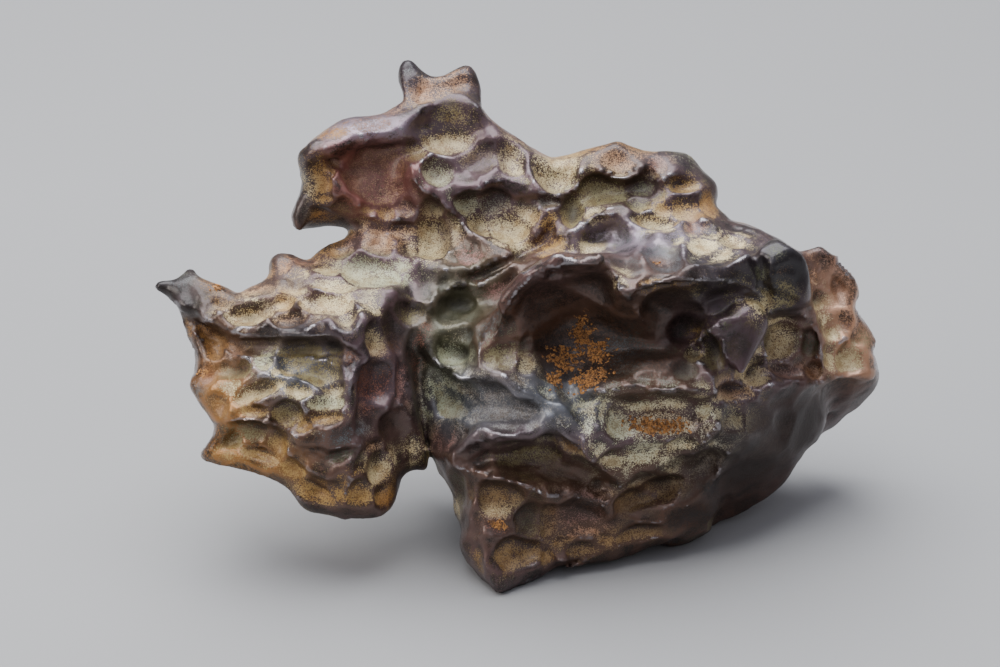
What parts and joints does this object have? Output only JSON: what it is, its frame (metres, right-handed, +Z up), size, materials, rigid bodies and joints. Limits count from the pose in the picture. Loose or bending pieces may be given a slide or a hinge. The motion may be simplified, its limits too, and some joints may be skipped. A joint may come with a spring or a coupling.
{
  "type": "polished iron meteorite",
  "caption": "Single piece of polished iron meteorite, scooped all over by thumbprint pits with sharp crests, resting on three low spots of its underside.",
  "frame": {"origin": "middle of the bottom of the bounding box", "axes": "+X along the longest side, towards the rounded end; +Z up as it rests; the front with the large hollow faces -Y"},
  "size_m": [0.29, 0.1296, 0.1821],
  "materials": {
    "polished_iron": "waxed dark bronze-brown iron, glossy on the crests, golden and grey-green with fine dark specks in the pits"
  },
  "bodies": {
    "root": {"meteorite": "polished_iron"}
  },
  "joints": []
}
